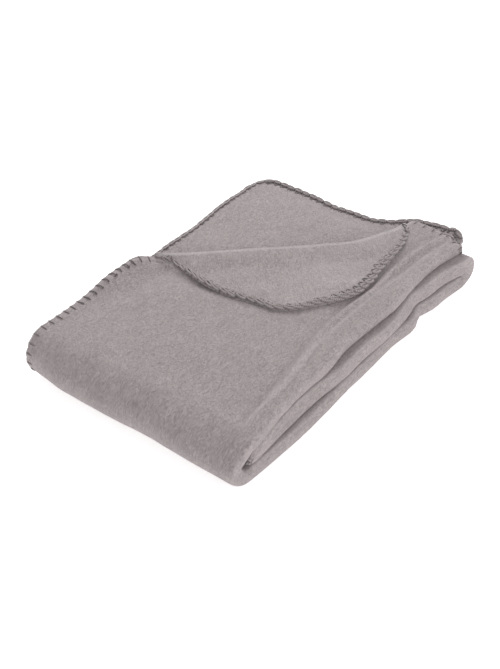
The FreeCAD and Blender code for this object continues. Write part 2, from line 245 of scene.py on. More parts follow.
def section(step, under):
    """The cross-section of one third, from the upper free hem to the lower one.

    It gives each column's x, height, kind (its layer or fold) and distance along the cloth. step is the grid
    step on layer 4, under the one on layer 3.
    """
    outer = (MID[3] - MID[0]) / 2
    inner = (MID[2] - MID[1]) / 2
    centre = (MID[3] + MID[0]) / 2
    left = LEFT + (MID[1] - MID[0]) / 2 + CLOTH / 2
    parts = []

    def flat(x0, x1, level, spacing, kind):
        x = run(x0, x1, spacing)
        parts.append((x, np.full(len(x), MID[level - 1]), kind))

    def bend(x, h, radius, first, last, count, kind):
        ax, ah = arc(x, h, radius, first, last, count)
        if kind == OUTER_FOLD:
            ax = x + radius * ((ax - x) / radius).clip(0) ** ROLL_SQUARE
        parts.append((ax[1:-1], ah[1:-1], kind))

    flat(LEFT, RIGHT, 4, step, 4)
    bend(RIGHT, centre, outer, 90, -90, 23, OUTER_FOLD)
    flat(RIGHT, left, 1, COARSE, 1)
    bend(left, (MID[0] + MID[1]) / 2, inner, 270, 90, 8, LEFT_FOLD)
    flat(left, RIGHT, 2, COARSE, 2)
    bend(RIGHT, centre, inner, -90, 90, 8, INNER_FOLD)
    flat(RIGHT, LEFT, 3, under, 3)
    x = np.concatenate([p[0] for p in parts])
    h = np.concatenate([p[1] for p in parts])
    kind = np.concatenate([np.full(len(p[0]), p[2]) for p in parts])
    s = np.r_[0, np.cumsum(np.hypot(np.diff(x), np.diff(h)))]
    return x, h, kind, s


def rows_of(parts):
    """Rows along the cloth: arrays of the part's name, its own parameter and the cloth distance."""
    name, value, distance = [], [], []
    last = 0.0
    for part, values, length in parts:
        steps = np.linspace(0, length, len(values))
        first = 1 if name else 0
        name += [part] * (len(values) - first)
        value += list(values[first:])
        distance += list(last + steps[first:])
        last += length
    return np.array(name), np.array(value), np.array(distance)


def place_rows(name, value, h):
    """y and z for every row and column, before the cloth's own shape."""
    y = np.zeros((len(value), len(h)))
    z = np.zeros_like(y)
    inner_front = FRONT_R - THIRD
    inner_back = BACK_R - THIRD
    for part in np.unique(name):
        here = name == part
        at = value[here][:, None]
        if part == "top":
            y[here] = at
            z[here] = TOP_BASE + h
        elif part == "middle":
            y[here] = at
            z[here] = MIDDLE_BASE + h
        elif part == "bottom":
            y[here] = at
            z[here] = THIRD - h
        elif part == "front":
            y[here] = FRONT_Y - (inner_front + h) * np.sin(at)
            z[here] = FRONT_Z + (inner_front + h) * np.cos(at)
        elif part == "back":
            y[here] = BACK_Y + (inner_back + h) * np.sin(at)
            z[here] = BACK_Z - (inner_back + h) * np.cos(at)
    return y, z


def round_corner(x, y, corner_x, corner_y, radius, side_x, side_y):
    """Draws a square corner of the sheet in to a round one, without moving its inner borders."""
    p = (side_x * (x - corner_x) + radius) / radius
    q = (side_y * (y - corner_y) + radius) / radius
    inside = (p > 0) & (q > 0)
    p, q = np.clip(p, 0, 1), np.clip(q, 0, 1)
    new_p, new_q = p * np.sqrt(1 - q * q / 2), q * np.sqrt(1 - p * p / 2)
    x = np.where(inside, corner_x + side_x * radius * (new_p - 1), x)
    y = np.where(inside, corner_y + side_y * radius * (new_q - 1), y)
    return x, y


def shape_rolls(x, y, weight_top, weight_middle, weight_bottom):
    """Moves each roll on the right in and out along the stack."""
    reach = ease((x - 40) / 110)
    move = weight_top * TOP_ROLL(y) + weight_middle * MIDDLE_ROLL(y) + weight_bottom * BOTTOM_ROLL(y)
    return x + reach * move


def top_surface(x, y):
    """Height that the whole top third gains or loses, in a soft heap's shape."""
    past = x - RIDGE(y)
    strength = ease((y + 235) / 40) * (1 - 0.5 * ease((y - 60) / 120))
    ridge = strength * (3.4 * bump(past, 1, 4.2) - 1.8 * bump(past, -9, 7))
    far = ease((y - 60) / 90)
    folds = far * (1.2 * bump(past, 1, 6) - 2.4 * bump(past, 13, 6))
    slope = -3.0 * ease((x - 60) / 90) * ease((y + 120) / 200)
    gap = crease_gap(x, y)
    behind = ease((y + 60) / 60) * ease((gap + 120) / 60)
    trough = -3.2 * behind * bump(gap, -16, 18)
    return 0.9 * waves(x, y, scale=120, seed=3) + ridge + folds + slope + trough


# ---------------------------------------------------------------- meshes
def grid_normals(p):
    return unit(np.cross(np.gradient(p, axis=0), np.gradient(p, axis=1)))


def unit(v):
    return v / np.maximum(np.linalg.norm(v, axis=-1, keepdims=True), 1e-9)


def grid_faces(rows, columns):
    i, j = np.meshgrid(np.arange(rows - 1), np.arange(columns - 1), indexing="ij")
    a = (i * columns + j).ravel()
    return np.stack([a, a + columns, a + columns + 1, a + 1], 1)


def make_mesh(name, points, faces, uv, uv_name, values, value_name, material):
    """A smooth mesh object from millimetre points, with a uv and one value per point."""
    mesh = bpy.data.meshes.new(name)
    mesh.from_pydata((points * MM).tolist(), [], faces)
    layer = mesh.uv_layers.new(name=uv_name)
    corners = np.zeros(len(mesh.loops), np.int32)
    mesh.loops.foreach_get("vertex_index", corners)
    layer.data.foreach_set("uv", uv[corners].astype(np.float32).ravel())
    attribute = mesh.attributes.new(value_name, "FLOAT", "POINT")
    attribute.data.foreach_set("value", values.astype(np.float32).ravel())
    mesh.polygons.foreach_set("use_smooth", np.ones(len(mesh.polygons), bool))
    mesh.update()
    piece = bpy.data.objects.new(name, mesh)
    bpy.context.scene.collection.objects.link(piece)
    piece.data.materials.append(material)
    return piece


def cloth_piece(name, p, s, t, thickness_share, painted_highlight_share, material, applied=True):
    """A sheet of cloth from its middle surface p, with its thickness drawn in at the hems."""
    rows, columns = p.shape[:2]
    uv = np.stack([np.broadcast_to(s, (rows, columns)), np.broadcast_to(t, (rows, columns))], 2)
    piece = make_mesh(name, p.reshape(-1, 3), grid_faces(rows, columns).tolist(), uv.reshape(-1, 2) * MM,
                      "cloth", np.broadcast_to(painted_highlight_share, (rows, columns)), "painted_highlight", material)
    group = piece.vertex_groups.new(name="thickness")
    shares = np.round(thickness_share.ravel(), 2)
    for share in np.unique(shares):
        group.add(np.nonzero(shares == share)[0].tolist(), float(share), "REPLACE")
    thick = piece.modifiers.new("thickness", "SOLIDIFY")
    thick.thickness = CLOTH * MM
    thick.offset = 0.0
    thick.vertex_group = "thickness"
    if applied:
        bake(piece)
    return piece


def bake(piece):
    """Applies the piece's modifiers to its mesh."""
    bpy.context.view_layer.update()
    graph = bpy.context.evaluated_depsgraph_get()
    mesh = bpy.data.meshes.new_from_object(piece.evaluated_get(graph))
    piece.modifiers.clear()
    piece.data = mesh


def hem_share(distance):
    """Share of the full thickness, by the distance in from the hem."""
    return EDGE_SHARE + (1 - EDGE_SHARE) * ease(distance / PINCH)


# ---------------------------------------------------------------- stitching
def frames_along(edge, normal, inward_hint):
    """Stitch places along a hem: evenly spaced points with their along, inward and face directions."""
    step = np.linalg.norm(np.diff(edge, axis=0), axis=1)
    distance = np.r_[0, np.cumsum(step)]
    count = max(1, int(round(distance[-1] / STITCH_PITCH)))
    at = (np.arange(count) + 0.5) * distance[-1] / count

    def sample(values):
        return np.stack([np.interp(at, distance, values[:, k]) for k in range(3)], 1)

    place = sample(edge)
    before = np.stack([np.interp(at - 4, distance, edge[:, k]) for k in range(3)], 1)
    after = np.stack([np.interp(at + 4, distance, edge[:, k]) for k in range(3)], 1)
    along = unit(after - before)
    face = sample(normal)
    face = unit(face - along * np.sum(face * along, 1, keepdims=True))
    inward = np.cross(along, face)
    sign = np.sign(np.sum(inward * sample(inward_hint), 1, keepdims=True))
    return place, along, inward * sign, face


def stitch_strands(random, count):
    """Each strand of one stitch: its control points, its radius and its painted shading.

    The points are (along, inward, face) millimetres, varied a little for each of the count stitches. A
    positive painted shading darkens the yarn as painted shade where it sinks into the pile, and a negative
    one
    """
    slant = random.uniform(-0.9, 0.9, count)
    reach = BITE + random.uniform(-0.8, 0.8, count)
    wide = random.uniform(0.85, 1.15, count)

    def strand(points, loose=0.0):
        base = np.array(points, float)
        out = np.repeat(base[None], count, 0)
        out[:, :, 0] = out[:, :, 0] * wide[:, None] + slant[:, None] * np.clip(base[:, 1], 0, 9)[None] / 7
        out[:, :, 1] = np.where(base[None, :, 1] > 3, out[:, :, 1] * (reach / BITE)[:, None], out[:, :, 1])
        return out + loose * random.uniform(-1, 1, (count, 1, 3)) * np.array([1.0, 0.6, 0.3])

    def leg_below(tip, foot):
        turned = random.uniform(-1.6, 1.6, count)[:, None] * np.array([1, 0.9, 0.5, 0.1, 0])
        points = strand([(tip, 9.6, 0.2), (tip, 9.0, -1.6), (tip + 0.4 * (foot - tip), 7.0, -2.5),
                         (tip + 0.75 * (foot - tip), 4.6, -2.8), (foot, 2.6, -2.6)])
        points[:, :, 0] += turned
        return points

    leg = strand([(0, 8.2, -0.6), (0.0, 8.0, 1.3), (0.1, 6.4, 2.3), (0.3, 4.0, 2.3), (0.5, 1.6, 2.0),
                  (0.6, -0.4, 1.2), (0.7, -1.0, -0.2)])
    turn = np.linspace(0.5, 2 * math.pi + 0.5, 13)
    ring = strand([(6.3 * math.cos(a), 1.6 + 2.0 * math.sin(a) - 1.3 * math.cos(a),
                    -3.1 + 0.9 * math.cos(a)) for a in turn], loose=1.1)
    shadow_strand = strand([(-7.2, 1.2, -1.6), (-3.0, 1.5, -1.7), (3.0, 1.1, -1.7), (7.2, 1.2, -1.6)])
    highlight_rim = strand([(-6.6, 0.9, 1.0), (-3.4, 0.3, 0.9), (0, 0.2, 0.8), (3.4, 0.3, 0.9), (6.6, 0.9, 1.0)])
    return (
        (leg, 0.80, 0.62),                      # the bar on the face side
        (leg_below(-0.6, -4.0), 0.75, 0.8),     # the two thin legs on the reverse side
        (leg_below(0.8, 4.2), 0.75, 0.75),
        (ring, 1.45, 0.0),                      # the loop of yarn at the hem
        (shadow_strand, 1.9, 1.0),                        # a strand painted dark as the shadow under the loop
        (highlight_rim, 0.95, -2.6),                      # a strand painted pale as a highlight along the face side
    )


def smooth_strand(points, parts):
    """Catmull-Rom subdivision of strands (count, points, 3)."""
    before = 2 * points[:, :1] - points[:, 1:2]
    after = 2 * points[:, -1:] - points[:, -2:-1]
    ends = np.concatenate([before, points, after], 1)
    a, b, c, d = ends[:, :-3], ends[:, 1:-2], ends[:, 2:-1], ends[:, 3:]
    out = []
    for k in range(parts):
        t = k / parts
        out.append(0.5 * (2 * b + (c - a) * t + (2 * a - 5 * b + 4 * c - d) * t ** 2
                          + (3 * b - a - 3 * c + d) * t ** 3))
    mixed = np.stack(out, 2).reshape(points.shape[0], -1, 3)
    return np.concatenate([mixed, points[:, -1:]], 1)


def tube_points(line, radius):
    """Rings of points round each line (count, steps, 3), and their uv."""
    tangent = unit(np.gradient(line, axis=1))
    side = np.zeros_like(line)
    first = np.cross(tangent[:, 0], np.array([0.31, 0.52, 0.79]))
    side[:, 0] = unit(first)
    for k in range(1, line.shape[1]):
        carried = side[:, k - 1] - tangent[:, k] * np.sum(side[:, k - 1] * tangent[:, k], 1, keepdims=True)
        side[:, k] = unit(carried)
    other = np.cross(tangent, side)
    angle = np.linspace(0, 2 * math.pi, YARN_SIDES, endpoint=False)
    taper = np.ones(line.shape[1])
    taper[[0, -1]] = 0.55
    ring = (side[:, :, None] * np.cos(angle)[None, None, :, None]
            + other[:, :, None] * np.sin(angle)[None, None, :, None])
    points = line[:, :, None] + radius * taper[None, :, None, None] * ring
    length = np.cumsum(np.linalg.norm(np.diff(line, axis=1, prepend=line[:, :1]), axis=2), 1)
    uv = np.stack([np.broadcast_to(length[:, :, None], ring.shape[:3]),
                   np.broadcast_to(angle[None, None, :], ring.shape[:3])], 3)
    return points, uv


def tube_faces(offset, count, steps, sides):
    """Quads along each of count tubes, and a cap on each of their ends."""
    base = offset + np.arange(count)[:, None, None] * steps * sides
    i = np.arange(steps - 1)[None, :, None] * sides
    j = np.arange(sides)[None, None, :]
    k = (j + 1) % sides
    corners = (base + i + j, base + i + k, base + i + sides + k, base + i + sides + j)
    faces = np.stack(np.broadcast_arrays(*corners), 3).reshape(-1, 4).tolist()
    start = offset + np.arange(count) * steps * sides
    for end in (start, start + (steps - 1) * sides):
        faces += (end[:, None] + np.arange(sides)[None]).tolist()
    return faces


def stitching_piece(name, runs, seed, material):
    """One piece of yarn from the hem runs, as hem_run gives them."""
    random = np.random.RandomState(seed)
    points, faces, uvs, sunk = [], [], [], []
    offset = 0
    for edge, normal, hint, scale, out, painted_light in runs:
        place, along, inward, face = frames_along(edge, normal, hint)
        for strand, radius, painted_shading in stitch_strands(random, len(place)):
            local = smooth_strand(strand, 2) * np.array([1, scale, 1]) - np.array([0, out, 0])
            world = (place[:, None] + local[:, :, :1] * along[:, None] + local[:, :, 1:2] * inward[:, None]
                     + local[:, :, 2:] * face[:, None])
            world[:, :, 2] = np.maximum(world[:, :, 2], radius * scale)
            ring, uv = tube_points(world, radius * scale)
            faces += tube_faces(offset, *ring.shape[:3])
            offset += ring[..., 0].size
            points.append(ring.reshape(-1, 3))
            uvs.append(uv.reshape(-1, 2))
            # painted shading, kept in sunk: painted shade grows further in from the hem, and painted_light
            # lightens the loop and rim
            shade = painted_shading * np.clip(local[:, :, 1] / 3, 0.25, 1) - (painted_light if painted_shading < 0.5 else 0)
            sunk.append(np.repeat(shade, YARN_SIDES, axis=1).ravel())
    return make_mesh(name, np.concatenate(points), faces, np.concatenate(uvs), "yarn",
                     np.concatenate(sunk), "sunk", material)


def hem_run(p, normal, path, inner, scale=1.0, out=0.0, painted_light=0.0):
    """A hem's points, face normals and inward hints, from grid indices of it and of points inside it.

    scale is the size of its stitches, out moves them off the hem, and painted_light lightens their yarn as a
    painted highlight; below zero it darkens it as painted shade.
    """
    rows, columns = zip(*path)
    inner_rows, inner_columns = zip(*inner)
    edge = p[list(rows), list(columns)]
    inside = p[list(inner_rows), list(inner_columns)]
    return edge, normal[list(rows), list(columns)], unit(inside - edge), scale, out, painted_light


# ---------------------------------------------------------------- materials
FLEECE_DARK = (0.312, 0.272, 0.275, 1)
FLEECE_LIGHT = (0.508, 0.450, 0.455, 1)
# colour of the painted highlight on the fleece's edges
FLEECE_PAINTED_HIGHLIGHT = (0.66, 0.61, 0.61, 1)
NAP_DOWN = (0.93, 0.925, 0.925, 1)
NAP_UP = (1.0, 0.995, 0.995, 1)
SHEEN = (0.80, 0.74, 0.75, 1)
YARN_DARK = (0.195, 0.165, 0.165, 1)
YARN_LIGHT = (0.490, 0.437, 0.437, 1)
# colours of the yarn's painted shade and painted highlight
YARN_PAINTED_SHADE = (0.125, 0.103, 0.103, 1)
YARN_PAINTED_HIGHLIGHT = (0.62, 0.56, 0.56, 1)


def new_material(name):
    material = bpy.data.materials.new(name)
    material.use_nodes = True
    nodes, links = material.node_tree.nodes, material.node_tree.links
    return material, nodes, links, nodes["Principled BSDF"]


def add(nodes, kind, **values):
    """A node, with each value set on its input of that name, or else on its property."""
    node = nodes.new(kind)
    for key, value in values.items():
        if key in node.inputs:
            node.inputs[key].default_value = value
        else:
            setattr(node, key, value)
    return node


def feed(links, socket, value):
    """Gives a socket another socket's output, or a constant."""
    if isinstance(value, bpy.types.NodeSocket):
        links.new(value, socket)
    else:
        socket.default_value = value


def maths(nodes, links, operation, *values, **options):
    node = add(nodes, "ShaderNodeMath", operation=operation, **options)
    for socket, value in zip(node.inputs, values):
        feed(links, socket, value)
    return node.outputs["Value"]


def noise(nodes, links, vector, **values):
    node = add(nodes, "ShaderNodeTexNoise", **values)
    links.new(vector, node.inputs["Vector"])
    return node.outputs["Fac"]


def ramp(nodes, links, factor, *stops):
    node = add(nodes, "ShaderNodeValToRGB")
    for element, (place, colour) in zip(node.color_ramp.elements, stops):
        element.position = place
        element.color = colour
    links.new(factor, node.inputs["Fac"])
    return node.outputs["Color"]


def mix_colours(nodes, links, factor, first, second, blend_type="MIX"):
    node = add(nodes, "ShaderNodeMix", data_type="RGBA", blend_type=blend_type)
    for slot, value in ((0, factor), (6, first), (7, second)):
        feed(links, node.inputs[slot], value)
    return node.outputs[2]


def add_relief(nodes, links, shader, height, strength, distance):
    relief = add(nodes, "ShaderNodeBump", Strength=strength, Distance=distance)
    links.new(height, relief.inputs["Height"])
    links.new(relief.outputs["Normal"], shader.inputs["Normal"])


def fleece_material():
    """Brushed polyester fleece: short matted pile that lies in small tufts."""
    material, nodes, links, shader = new_material("fleece_pile")
    shader.inputs["Roughness"].default_value = 0.95
    shader.inputs["Specular IOR Level"].default_value = 0.12
    shader.inputs["Sheen Weight"].default_value = 0.35
    shader.inputs["Sheen Roughness"].default_value = 0.55
    shader.inputs["Sheen Tint"].default_value = SHEEN
    cloth = add(nodes, "ShaderNodeUVMap", uv_map="cloth").outputs["UV"]
    stretch = add(nodes, "ShaderNodeMapping", Scale=(1.0, 0.42, 1.0))
    links.new(cloth, stretch.inputs["Vector"])
    brushed = stretch.outputs["Vector"]
    tufts = noise(nodes, links, brushed, Scale=270.0, Detail=3.0, Roughness=0.6, Distortion=2.2)
    fibres = noise(nodes, links, brushed, Scale=900.0, Detail=2.0, Roughness=0.6, Distortion=0.6)
    nap = noise(nodes, links, cloth, Scale=28.0, Detail=3.0, Roughness=0.55, Distortion=0.4)
    centred = maths(nodes, links, "SUBTRACT", tufts, 0.3)
    grain = maths(nodes, links, "MULTIPLY_ADD", fibres, 0.6, centred)
    tone = ramp(nodes, links, grain, (0.34, FLEECE_DARK), (0.66, FLEECE_LIGHT))
    patch = ramp(nodes, links, nap, (0.30, NAP_DOWN), (0.75, NAP_UP))
    colour = mix_colours(nodes, links, 1.0, tone, patch, "MULTIPLY")
    # painted highlight: lighter colour along the rolls' edges, the ridge, the crease and the hems
    painted_highlight_share = add(nodes, "ShaderNodeAttribute", attribute_name="painted_highlight").outputs["Fac"]
    highlighted = mix_colours(nodes, links, painted_highlight_share, colour, FLEECE_PAINTED_HIGHLIGHT)
    links.new(highlighted, shader.inputs["Base Color"])
    heap = maths(nodes, links, "MULTIPLY_ADD", tufts, 0.75, fibres)
    add_relief(nodes, links, shader, heap, strength=0.9, distance=0.0019)
    return material


def yarn_material():
    """Soft two-ply acrylic yarn, with painted shade where it sinks into the pile and a painted highlight
    where it lies open.
    """
    material, nodes, links, shader = new_material("edging_yarn")
    shader.inputs["Roughness"].default_value = 0.85
    shader.inputs["Specular IOR Level"].default_value = 0.2
    shader.inputs["Sheen Weight"].default_value = 0.3
    shader.inputs["Sheen Roughness"].default_value = 0.5
    strand = add(nodes, "ShaderNodeUVMap", uv_map="yarn")
    split = add(nodes, "ShaderNodeSeparateXYZ")
    links.new(strand.outputs["UV"], split.inputs["Vector"])
    around = maths(nodes, links, "MULTIPLY", split.outputs["Y"], 2.0)
    twist = maths(nodes, links, "MULTIPLY_ADD", split.outputs["X"], 2.6, around)
    tone = add(nodes, "ShaderNodeMapRange")
    tone.inputs["From Min"].default_value = -1.0
    links.new(maths(nodes, links, "SINE", twist), tone.inputs["Value"])
    ply = ramp(nodes, links, tone.outputs["Result"], (0.0, YARN_DARK), (1.0, YARN_LIGHT))
    # sunk carries painted shading: above zero it mixes in painted shade, below zero a painted highlight
    sunk = add(nodes, "ShaderNodeAttribute", attribute_name="sunk").outputs["Fac"]
    painted_shade = mix_colours(nodes, links, sunk, ply, YARN_PAINTED_SHADE)
    highlight_share = maths(nodes, links, "MULTIPLY", sunk, -1.0, use_clamp=True)
    links.new(mix_colours(nodes, links, highlight_share, painted_shade, YARN_PAINTED_HIGHLIGHT), shader.inputs["Base Color"])
    place = add(nodes, "ShaderNodeTexCoord").outputs["Object"]
    fuzz = noise(nodes, links, place, Scale=1400.0, Detail=2.0)
    add_relief(nodes, links, shader, fuzz, strength=0.5, distance=0.0005)
    return material


def floor_material():
    """A white floor that shows only the softest shadow."""
    material, nodes, links, shader = new_material("white_floor")
    shader.inputs["Base Color"].default_value = (0.90, 0.90, 0.90, 1)
    shader.inputs["Emission Color"].default_value = (1, 1, 1, 1)
    shader.inputs["Emission Strength"].default_value = 0.60
    shader.inputs["Roughness"].default_value = 0.9
    shader.inputs["Specular IOR Level"].default_value = 0.1
    grain = add(nodes, "ShaderNodeTexNoise", Scale=220.0, Detail=2.0).outputs["Fac"]
    add_relief(nodes, links, shader, grain, strength=0.04, distance=0.0005)
    return material


# ---------------------------------------------------------------- the outer sheet
OUTER_SECTION = section(FINE, NEXT_STEP)
MIDDLE_SECTION = section(MIDDLE_STEP, MIDDLE_UNDER)
OUTER_ROWS = rows_of((
    ("top", run(END_Y, FRONT_Y, FINE), END_Y - FRONT_Y),
    ("front", np.linspace(0, math.pi, FRONT_STEPS), math.pi * (FRONT_R - CLOTH / 2)),
    ("bottom", run(FRONT_Y, BACK_Y, BOTTOM_STEP), BACK_Y - FRONT_Y),
))
MIDDLE_ROWS = rows_of((
    ("back", np.linspace(0, math.pi, BACK_STEPS), math.pi * (BACK_R - CLOTH / 2)),
    ("middle", run(BACK_Y, INNER_Y, MIDDLE_STEP), BACK_Y - INNER_Y),
))


def end_at_crease(x, y, s, top, kind):
    """Ends the top layer at the crease, and rounds the next layer's corner and lets out its side hem.

    It gives x, y and the distance across the cloth.
    """
    turned = top & (kind == 4)[None]
    beneath = top & (kind == 3)[None]
    start = np.where(y > CREASE_LINE[0, 1], crease_x(y), LEFT + HEM_LEAN(y))
    share = (x - LEFT) / (RIGHT - LEFT)
    x = np.where(turned, start + share * (RIGHT - start), x)
    across = np.where(turned, x - LEFT, s[None])
    x, y = np.where(beneath, round_corner(x, y, LEFT, END_Y, CORNER_ROUND, -1, 1), (x, y))
    x = x - np.where(beneath, 7 * ease((y - 60) / 90) * ease(-(x + 60) / 90), 0)
    return x, y, across


def top_relief(x, y, z, turned, layer_4):
    """z with the top layer's rise to the crease, its full side hem and the hollow beside the corner."""
    rise = CREASE_RISE * np.exp(-(crease_gap(x, y) / CREASE_REACH) ** 2)
    z = z + np.where(turned, rise * ease((y + 80) / 45), 0)
    hem = x - LEFT
    hem_lift = 1.5 * np.exp(-(hem / 5) ** 2) - 1.1 * bump(hem, 19, 9)
    near_crease = ease((y + 150) / 60) * (1 - 0.5 * ease((y + 55) / 35))
    hem_lift = hem_lift + near_crease * (6.4 * bump(hem, 3, 15) - 4.0 * bump(hem, 36, 14))
    z = z + np.where(layer_4 & (y < CREASE_PLAN[0][1]), hem_lift * ease((z - 30) / 30), 0)
    hollow = bump(y, -39, 11) * ease((x + 131) / 18) * (1 - ease((x + 75) / 70))
    return z - np.where(turned, 3.8 * hollow, 0)


def lean_front(x, y, flat_y, name, value):
    """y with the front fold's foot, and the bottom third behind it, drawn forward of the fold's top."""
    front = name[:, None] == "front"
    bottom = name[:, None] == "bottom"
    angle = np.where(front, value[:, None], 0)
    forward = FRONT_FOOT(x)
    y = y - np.where(front, forward * ease((angle - 0.2) / 1.5), 0)
    return y - np.where(bottom, forward * (1 - ease((flat_y - FRONT_Y) / 90)), 0)


def outer_sheet():
    """Middle surface of the bottom third, front fold and top third, as one grid."""
    x, h, kind, s = OUTER_SECTION
    name, value, t = OUTER_ROWS
    flat_y, z = place_rows(name, value, h)
    x = np.broadcast_to(x, flat_y.shape).copy()
    top = (name == "top")[:, None] & np.ones_like(flat_y, bool)
    layer_4 = (kind == 4)[None]
    inner_end = np.isin(kind, (2, INNER_FOLD, 3))[None]
    x, flat_y, across = end_at_crease(x, flat_y, s, top, kind)
    up = np.clip((z - FRONT_Z) / FRONT_R, -1, 1)
    lift = np.where(top, 1.0, np.where(name[:, None] == "front", ease(up + 0.2), 0.0))
    z = z + lift * top_surface(x, flat_y) * (0.4 + 0.6 * np.clip(h / THIRD, 0, 1))[None]
    z = z - lift * END_DROOP(x) * ease((flat_y - 195) / 50)
    z = top_relief(x, flat_y, z, top & layer_4, layer_4)
    stand_out = np.where(inner_end, INNER_END(x), OUTER_END(x))
    y = flat_y + lift * ease((flat_y - 120) / 120) * stand_out
    curl = 1.5 * ease((x - 40) / 30) + 4.5 * ease((x - 98) / 46)
    z = z + np.where(inner_end & top, curl * ease((y - 252) / 12), 0)
    y = lean_front(x, y, flat_y, name, value)
    x = shape_rolls(x, flat_y, lift, 0, 1 - lift)
    p = np.stack([x, y, z], 2)
    crumple = 0.16 * waves(across, t[:, None] + 0 * across, scale=26, seed=5)
    return p + crumple[..., None] * grid_normals(p), across, t, kind, name


def outer_thickness(p, kind, name):
    """Full inside, pinched at the end hem and at the two side hems."""
    end = np.linalg.norm(p - p[0], axis=2)
    left = np.linalg.norm(p - p[:, :1], axis=2)
    right = np.linalg.norm(p - p[:, -1:], axis=2)
    layer_4 = (kind == 4)[None]
    layer_3 = (kind == 3)[None]
    free = ~((name == "top")[:, None] & (p[:, :1, 1] > CREASE_LINE[0, 1] + 2))
    distance = np.minimum(end, 99)
    distance = np.where(layer_4 & free, np.minimum(distance, left), distance)
    distance = np.where(layer_3, np.minimum(distance, right), distance)
    return hem_share(distance)


def roll_rim(columns, level):
    """1 along a line on a section's roll on the right, by its share of the half height above the middle."""
    h, kind = columns[1:3]
    share = (h - (MID[3] + MID[0]) / 2) / ((MID[3] - MID[0]) / 2)
    return np.where(kind == OUTER_FOLD, bump(share, level, RIM_WIDTH), 0.0)[None]


def outer_painted_highlight(p, kind, name):
    """Painted highlight: lighter colour along the rolls' edges, the ridge on top and the hems."""
    top = (name == "top")[:, None]
    bottom = (name == "bottom")[:, None]
    end = np.linalg.norm(p - p[0], axis=2)
    left = np.linalg.norm(p - p[:, :1], axis=2)
    right = np.linalg.norm(p - p[:, -1:], axis=2)
    ridge = 0.34 * bump(p[..., 0] - RIDGE(p[..., 1]), 0, 2.4) * ease((p[..., 1] + 235) / 40)
    highlight_rim = roll_rim(OUTER_SECTION, -RIM_LEVEL)
    rims = np.where(top, RIM_CLEAR * highlight_rim, 0) + np.where(bottom, RIM_FAINT * highlight_rim, 0)
    hems = 0.60 * np.exp(-(np.minimum(end, left) / 2.5) ** 2)
    side = np.where((kind == 3)[None], 0.55 * np.exp(-(right / 2.5) ** 2), 0)
    return rims + side + np.where((kind == 4)[None], hems + ridge * top, 0)


def middle_sheet():
    """Middle surface of the back fold and middle third, as one grid."""
    x, h, kind, s = MIDDLE_SECTION
    name, value, t = MIDDLE_ROWS
    y, z = place_rows(name, value, h)
    x = np.broadcast_to(x, y.shape).copy()
    for level in (4, 3):
        free = (name == "middle")[:, None] & (kind == level)[None]
        x, y = np.where(free, round_corner(x, y, LEFT, INNER_Y, HIDDEN_ROUND, -1, -1), (x, y))
    lift = ease((z - 6) / 30)
    back = (name == "back")[:, None] & (z > BACK_Z)
    turn = np.clip((y - BACK_Y) / (BACK_R - THIRD + h[None]), 0, 1)
    square = turn ** (1 - 0.75 * ease((x - 60) / 80))
    y = np.where(back, BACK_Y + (BACK_R - THIRD + h[None]) * square, y)
    x = shape_rolls(x, y, 0, lift, 1 - lift)
    wobble = 1.5 * waves(x * 0 + 1, x, scale=90, seed=11) - 15 * ease((x - 60) / 80)
    y = y + np.where(name[:, None] == "middle", wobble * (1 - ease((y - INNER_Y) / 40)), 0)
    y = y + 11 * ease((x - 60) / 90) * ease((y - BACK_Y) / 20)
    tuck = np.clip((-216 - y) / 14, 0, 0.96)
    z = FRONT_Z + (z - FRONT_Z) * np.where((name == "middle")[:, None], np.sqrt(1 - tuck ** 2), 1)
    p = np.stack([x, y, z], 2)
    return p, np.broadcast_to(s, y.shape), t, kind


def middle_painted_highlight():
    """Painted highlight along the upper and lower edge of the middle roll."""
    upper = RIM_FAINT * roll_rim(MIDDLE_SECTION, RIM_LEVEL)
    return upper + RIM_CLEAR * roll_rim(MIDDLE_SECTION, -RIM_LEVEL)


def middle_thickness(p, kind):
    end = np.linalg.norm(p - p[-1], axis=2)
    left = np.linalg.norm(p - p[:, :1], axis=2)
    right = np.linalg.norm(p - p[:, -1:], axis=2)
    distance = np.where((kind == 4)[None], np.minimum(end, left), end)
    distance = np.where((kind == 3)[None], np.minimum(distance, right), distance)
    return hem_share(distance)


# ---------------------------------------------------------------- the turned corner
# plan of the turned corner's hem, from the same end as the crease's
FLAP_HEM = ((-141, -30), (-121, -24), (-86, -29), (-49, -36), (-15, -36), (20, -30), (46, -25),
            (64, -12), (84, 14), (99, 38), (108, 62), (108, 92), (103, 125), (100, 160), (96, 188),
            (88, 212), (79, 232))
ROLL_STEPS = 9
ROLL_RADIUS = 3.0
CREASE_LENGTH = 365
STRIP = 10.0           # how far the crease's roll runs on over the top layer
CORNER_COLUMNS = 150
CORNER_ROWS = 62


def crease_frame():
    """The crease's plan points, its direction out of the flap, and the height of the layer beneath it."""
    line = through(CREASE_PLAN, CORNER_COLUMNS)
    tangent = unit(np.gradient(line, axis=0))
    outward = np.stack([-tangent[:, 1], tangent[:, 0]], 1)
    height = TOP_BASE + MID[3] + CREASE_RISE + ground(line[:, 0], line[:, 1])
    return line, outward, height


def ground(x, y):
    """What the heap's shape adds to the height of the top layer."""
    return top_surface(x, y) - END_DROOP(x) * ease((y - 195) / 50)


def crease_sheet():
    """Middle surface of the strip that rolls over at the crease, from the top layer to the corner."""
    line, outward, height = crease_frame()
    rows = []
    for back in (STRIP, STRIP / 2):
        plan = line - outward * back
        sunk = CREASE_RISE * (math.exp(-(back / CREASE_REACH) ** 2) - 1)
        rows.append(np.column_stack([plan, height + sunk]))
    for angle in np.linspace(0, math.pi, ROLL_STEPS):
        plan = line + outward * ROLL_RADIUS * 1.25 * math.sin(angle)
        rows.append(np.column_stack([plan, height + ROLL_RADIUS * (1 - math.cos(angle))]))
    return np.array(rows)


